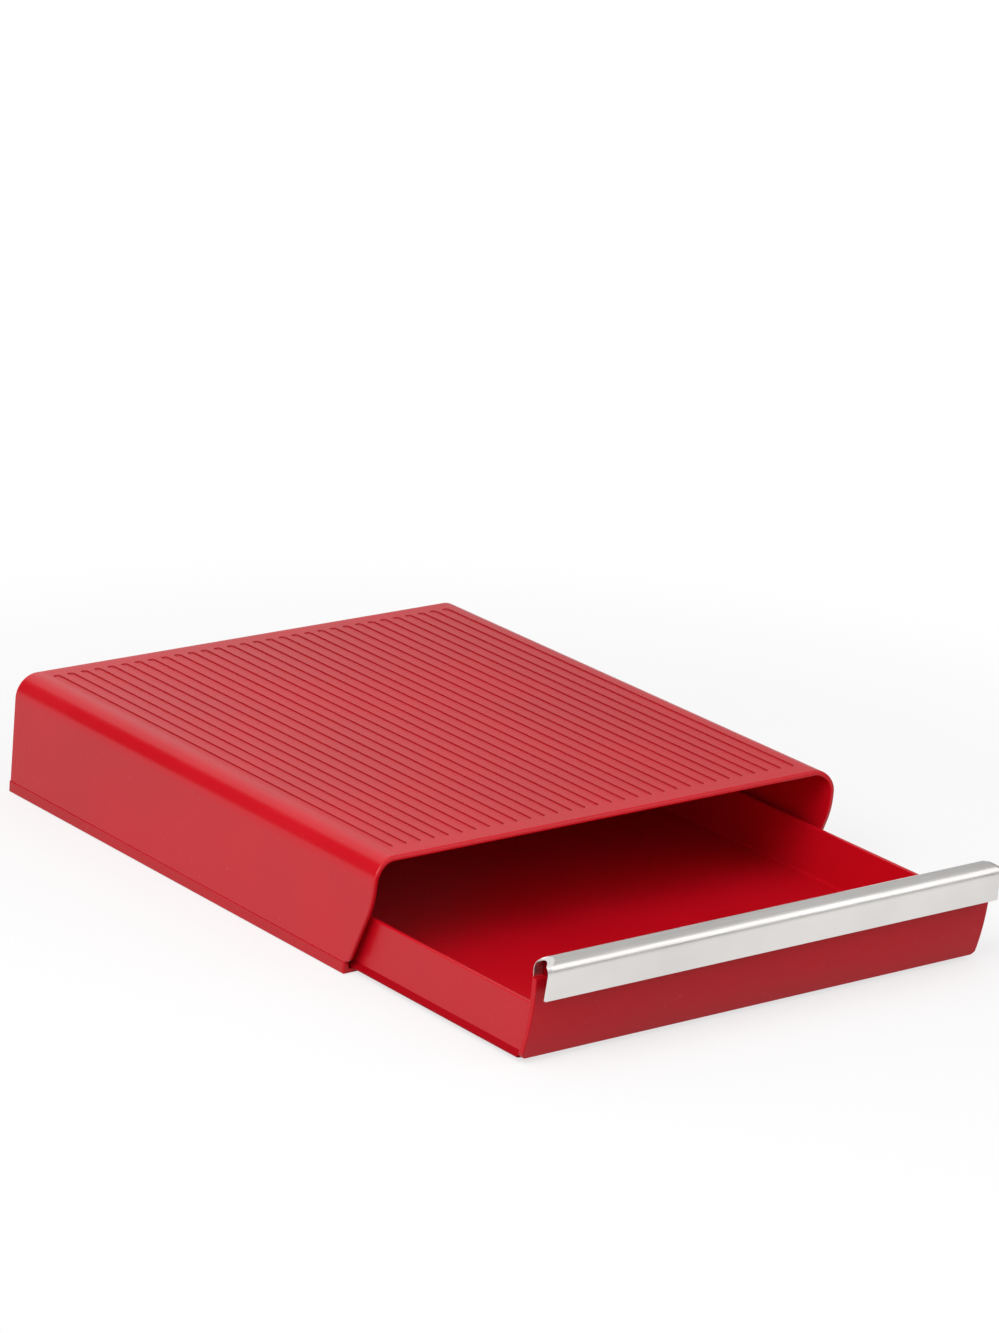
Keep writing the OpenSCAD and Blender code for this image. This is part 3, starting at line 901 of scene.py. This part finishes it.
# The tray is a stack of loops that follow its profile: from the underside round the skirt's upright
# edge, up the slope and the side wall, over the lip, down the inner face, and round the fillet to the
# floor. Each loop is a rectangle of half width w at a height z, with round back corners. Its back end
# lies in as far as its sides do, but only the sides have a skirt. Its front end lies inside the
# drawer front, which closes the tray: the skirt's just inside the front's back face, the walls' deeper.
def traySurface(shape=trayShape):
    wall, skirtX = shape["wall"], trayHigh.x
    low, high = trayLow.z, trayHigh.z
    floor, wellX = low + shape["floor"], trayX - wall
    path = roundPath([
        (skirtX - shape["undersideCap"], low), (skirtX, low), (skirtX, low + shape["skirtEdge"]),
        (trayX, low + shape["skirtHeight"]), (trayX, high), (wellX, high), (wellX, floor),
        (wellX - shape["floorCap"], floor),
    ], [
        shape["edge"], shape["skirtRadius"], shape["slopeRadius"],
        shape["lip"], shape["lip"], shape["floorFillet"],
    ], shape["arcSteps"])
    w, z = path[:, :1], path[:, 1:]
    underside = np.arange(len(path))[:, None] <= shape["arcSteps"]
    backIn = np.where(underside, skirtX - w, np.maximum(trayX - w, 0))
    overLip = np.clip((trayX - w) / wall, 0, 1)
    radius = shape["outsideCorner"] + (shape["insideCorner"] - shape["outsideCorner"]) * overLip
    radius = radius - np.maximum(wellX - w, 0) - np.where(underside, backIn, 0)
    radius = np.maximum(radius, shape["leastCorner"])
    thick = frontShape["thickness"]
    wallDepth = thick - shape["wallSunk"] + shape["insideLess"] * overLip
    onSkirt = w > trayX + shape["tolerance"]
    front = frontFace(z, np.where(onSkirt, thick - shape["skirtSunk"], wallDepth))
    back = trayHigh.y - backIn
    turn = np.linspace(0, quarter, shape["turnPoints"])[None, :]
    moveIn, along = radius * (1 - np.sin(turn)), radius * (1 - np.cos(turn))
    x = np.concatenate([w, w - along, -w + moveIn, -w], 1)
    y = np.concatenate([front, back - moveIn, back - along, front], 1)
    return loopSurface(np.stack([x, y, np.broadcast_to(z, x.shape)], -1))


# A lug on each side: a block with round edges that starts inside the tray's wall.
def lugSurface(shape=trayShape):
    lugX = innerX(tongueTop) - railShape["tongueThickness"] - shape["lugGap"]
    lugZ = shellZ + shape["lugGap"]
    inner = trayX - shape["wall"] / 2
    outline = roundOutline([
        (inner, lugZ), (lugX, lugZ), (lugX, lugZ + shape["lugHeight"]), (inner, lugZ + shape["lugHeight"]),
    ], shape["lugEdge"])
    return bar(outline, trayHigh.y - shape["lugLength"], trayHigh.y, shape["lugEdge"], 1)


drawerLook = plasticLook | {"smooth": 0.28, "rough": 0.33, "specular": 0.32}
# Painted shade along the tray's skirt: below the skirt's top and beyond the side walls the plastic is
# painted darker and its reflection weaker.
shadeAlongSkirt = {
    "startX": trayX - 0.2 * mm,
    "heights": (trayLow.z - 1 * mm, trayLow.z + trayShape["skirtHeight"]),
    "soft": 0.3 * mm,
    "share": 0.6,
    "colour": (0.25, 0.0012, 0.005),
    "dull": 0.8,
}
drawerPlastic = mouldedPlastic("drawerPlastic", drawerLook, shade=shadeAlongSkirt)
addPiece("drawerTray", [traySurface()], drawerPlastic, "drawer", ["drawer_tray"])
lug = lugSurface()
addPiece("trayLugs", [lug, mirrored(lug)], drawerPlastic, "drawer", [])

print("stage: handle")


# A cut end of the strip, from one face to the other: each of its two edges is a quarter turn about a
# centre that lies one edge radius inside the face and the end.
def roundEnd(foot, across, along, shape=handleShape):
    edge = shape["edge"]
    a = np.linspace(0, quarter, shape["edgePoints"] + 1)[1:, None]
    side = across * (shape["thickness"] / 2 - edge + edge * np.cos(a))
    out = along * edge * np.sin(a)
    return np.concatenate([foot + side + out, foot - side[::-1] + out[::-1]])


# The strip's outline in Y and Z: its middle line comes up the front leg, turns over the arch and goes
# down the back leg, and each face lies half the thickness to one side. Both cut ends have round edges.
def stripOutline(shape=handleShape):
    lean = math.radians(shape["frontLeanDeg"])
    t, edge = shape["thickness"], shape["edge"]
    middle = shape["archRadius"] - t / 2
    sideways, down = np.array([1.0, 0.0]), np.array([0.0, -1.0])
    angle = np.linspace(math.pi + lean, 0, shape["archPoints"])
    legDirection = np.array([-math.sin(lean), math.cos(lean)])
    legNormal = np.array([-math.cos(lean), -math.sin(lean)])
    legFoot = legNormal * middle - legDirection * shape["frontLeg"]
    legRise = np.linspace(edge, shape["frontLeg"], shape["legPoints"])[:-1, None]
    arch = np.stack([np.cos(angle), np.sin(angle)], 1)
    backFoot = np.array([middle, edge - shape["backLeg"]])
    line = np.concatenate([
        legFoot + legDirection * legRise,
        arch * middle,
        [[middle, -shape["backLeg"] / 2], backFoot],
    ])
    normal = np.concatenate([np.broadcast_to(legNormal, (len(legRise), 2)), arch, [sideways, sideways]])
    outline = np.concatenate([
        line + normal * t / 2,
        roundEnd(backFoot, sideways, down),
        (line - normal * t / 2)[::-1],
        roundEnd(legFoot + legDirection * edge, -legNormal, -legDirection),
    ])
    return (outline + np.array([archY, archZ]))[::-1]


# The strip: its outline is carried along X. The ends are cut back towards the crest, and slant from
# the inner face to the outer one. The outline's points pair up across the strip's thickness, counted
# both ways from the middle of its front foot, which comes after the foot's first edge points. A row of
# quads between them closes each end.
def stripSurface(shape=handleShape):
    outline = stripOutline()
    count = len(outline)
    step = np.arange(count // 2)
    middle = shape["edgePoints"]
    outer, inner = (middle - 1 - step) % count, (middle + step) % count
    y, z = outline.T
    slant = np.zeros(count)
    height = np.clip((z - (archZ - shape["frontLeg"])) / shape["frontLeg"], 0, 1)
    slant[outer] = (shape["footRimCut"] + (shape["rimCut"] - shape["footRimCut"]) * height)[outer]
    slant = (slant + np.roll(slant, 1) + np.roll(slant, -1)) / 3
    crest = np.clip((z - stripHigh.z) / shape["crestCutHeight"] + 1, 0, 1)
    cut = slant - slant.min() + shape["crestCut"] * crest
    points, blocks = bar(outline, stripLow.x, stripHigh.x, shape["endEdge"], 0)
    loops = points.reshape(-1, count, 3)
    loops[..., 0] *= 1 - cut / stripHigh.x
    ends = np.stack([outer[:-1], outer[1:], inner[1:], inner[:-1]], -1)
    last = len(points) - count
    return loops.reshape(-1, 3), [blocks[0], ends, ends + last]


strip = stripSurface()
addPiece("handleStrip", [strip], stripMetal, "drawer", ["handle_strip"])

clipShape = {"count": 3, "width": 14 * mm, "edge": 0.2 * mm, "arcPoints": 60, "facePoints": 8}


# A clip's outline: half a disc under the arch, cut off where the drawer front's face crosses it.
def clipOutline():
    a = np.linspace(math.pi, 0, clipShape["arcPoints"])
    y, z = archY + archIn * np.cos(a), archZ + archIn * np.sin(a)
    keep = y < frontFace(z)
    rise = np.linspace(z[keep][-1], archZ, clipShape["facePoints"])
    face = np.stack([frontFace(rise), rise], 1)
    return np.concatenate([np.stack([y[keep], z[keep]], 1), face])[::-1]


pitch = (stripHigh.x - stripLow.x) / clipShape["count"]
clips = []
for number in range(clipShape["count"]):
    middle = stripLow.x + pitch * (number + 0.5)
    ends = (middle - clipShape["width"] / 2, middle + clipShape["width"] / 2)
    clips.append(bar(clipOutline(), *ends, clipShape["edge"], 0))
addPiece("handleClips", clips, clipPlastic, "drawer", ["handle_clips"])

print("stage: floor and light")

white = (1, 1, 1, 1)
studio = {
    "floorSize": 12.0,
    "floorSeen": (0.95, 0.95, 0.95),
    "floorBounce": (0.40, 0.40, 0.40),
    "glowNear": 0.70,
    "glowFar": 1.0,
    "glowReach": (0.30, 0.55),
    "skyLeft": 0.74,
    "skyRight": 0.50,
    "skyTurn": (-1.0, 1.0),
    "backdropTurn": (0.29, 0.37),
    "roomFront": 0.35,
    "roomFrontTurn": (-0.5, -0.2),
    "ceilingLeft": 1.0,
    "ceilingRight": 0.52,
    "ceilingTurn": (0.40, 0.56),
    "rightWall": 0.45,
    "rightWallTurn": (0.53, 0.64),
    "cardWay": (-0.495, 0.745, 0.447),
    "cardTurn": (0.90, 0.962),
    "cardLevel": 0.0,
}


# 1 for rays that see the studio: from the camera, mirrored or through. 0 for rays that light things.
def seesStudio(tree):
    path = addNode(tree, "ShaderNodeLightPath")
    either = joined(tree, "MAXIMUM", path.outputs["Is Camera Ray"], path.outputs["Is Glossy Ray"])
    return joined(tree, "MAXIMUM", either, path.outputs["Is Transmission Ray"])


# Mixes two shaders and links them to an output.
def mixToOutput(tree, kind, factor, first, second):
    inputs = {"Fac": factor, 1: first.outputs[0], 2: second.outputs[0]}
    mix = addNode(tree, "ShaderNodeMixShader", inputs=inputs)
    addNode(tree, kind, inputs={"Surface": mix.outputs[0]})


# The floor: pale paper that keeps the object's shadow, mixed with plain white for rays that see the
# studio. The share of white grows with the distance from the object. Other rays see duller paper.
def makeFloor(setup):
    material, tree = newMaterial("floorPaper")
    studioRay = seesStudio(tree)
    paper = mixColour(tree, studioRay, setup["floorBounce"], setup["floorSeen"])
    away = addNode(tree, "ShaderNodeVectorMath", {"operation": "LENGTH"}, {0: ownPlace(tree)})
    share = mapRange(tree, away.outputs["Value"], setup["glowNear"], setup["glowFar"], *setup["glowReach"])
    dull = addNode(tree, "ShaderNodeBsdfDiffuse", inputs={"Color": paper})
    glow = addNode(tree, "ShaderNodeEmission", inputs={"Color": white, "Strength": 1.0})
    mixToOutput(tree, "ShaderNodeOutputMaterial", product(tree, studioRay, share), dull, glow)
    half = setup["floorSize"] / 2
    corners = [(-half, -half, 0), (half, -half, 0), (half, half, 0), (-half, half, 0)]
    mesh = bpy.data.meshes.new("floor")
    mesh.from_pydata(corners, [], [(0, 1, 2, 3)])
    mesh.materials.append(material)
    floor = bpy.data.objects.new("floor", mesh)
    bpy.context.scene.collection.objects.link(floor)


# The room. Rays that light the object find a soft sky that is brighter to the left. Rays that see the
# studio find a white backdrop that ends in front of the object, a grey ceiling, and a dark card at
# the back left. The card's edge is set by the cosine of the angle from its middle.
def makeWorld(setup):
    world = bpy.data.worlds.new("studio")
    bpy.context.scene.world = world
    world.use_nodes = True
    tree = world.node_tree
    tree.nodes.clear()
    way = addNode(tree, "ShaderNodeTexCoord").outputs["Generated"]
    x, y, z = axes(tree, way)
    sky = mapRange(tree, x, setup["skyLeft"], setup["skyRight"], *setup["skyTurn"])
    paper = mapRange(tree, y, setup["roomFront"], 1.0, *setup["roomFrontTurn"])
    right = mapRange(tree, x, 1.0, setup["rightWall"], *setup["rightWallTurn"])
    ceiling = mapRange(tree, x, setup["ceilingLeft"], setup["ceilingRight"], *setup["ceilingTurn"])
    room = mapRange(tree, z, product(tree, paper, right), ceiling, *setup["backdropTurn"])
    inputs = {0: way, 1: setup["cardWay"]}
    toCard = addNode(tree, "ShaderNodeVectorMath", {"operation": "DOT_PRODUCT"}, inputs)
    card = mapRange(tree, toCard.outputs["Value"], 1.0, setup["cardLevel"], *setup["cardTurn"])
    soft = addNode(tree, "ShaderNodeBackground", inputs={"Color": white, "Strength": sky})
    level = product(tree, room, card)
    seen = addNode(tree, "ShaderNodeBackground", inputs={"Color": white, "Strength": level})
    mixToOutput(tree, "ShaderNodeOutputWorld", seesStudio(tree), soft, seen)


lamps = {
    "keyLamp": {"place": (-1.02, -0.48, 1.05), "target": (0, -0.05, 0.03), "size": 0.8, "power": 11.3},
    "fillLamp": {"place": (1.45, -1.65, 1.1), "target": (0, 0, 0.03), "size": 1.2, "power": 6.0},
}


# A soft lamp at a place, turned to look at a point.
def addLamp(name, place, target, size, power):
    data = bpy.data.lights.new(name, "AREA")
    data.shape = "SQUARE"
    data.size = size
    data.energy = power
    lamp = bpy.data.objects.new(name, data)
    bpy.context.scene.collection.objects.link(lamp)
    aim = Vector(target) - Vector(place)
    lamp.matrix_world = Matrix.Translation(place) @ aim.to_track_quat("-Z", "Y").to_matrix().to_4x4()


makeFloor(studio)
makeWorld(studio)
for lampName, lampSetup in lamps.items():
    addLamp(lampName, **lampSetup)
bpy.context.scene.view_settings.view_transform = "Standard"

print("stage: finish")
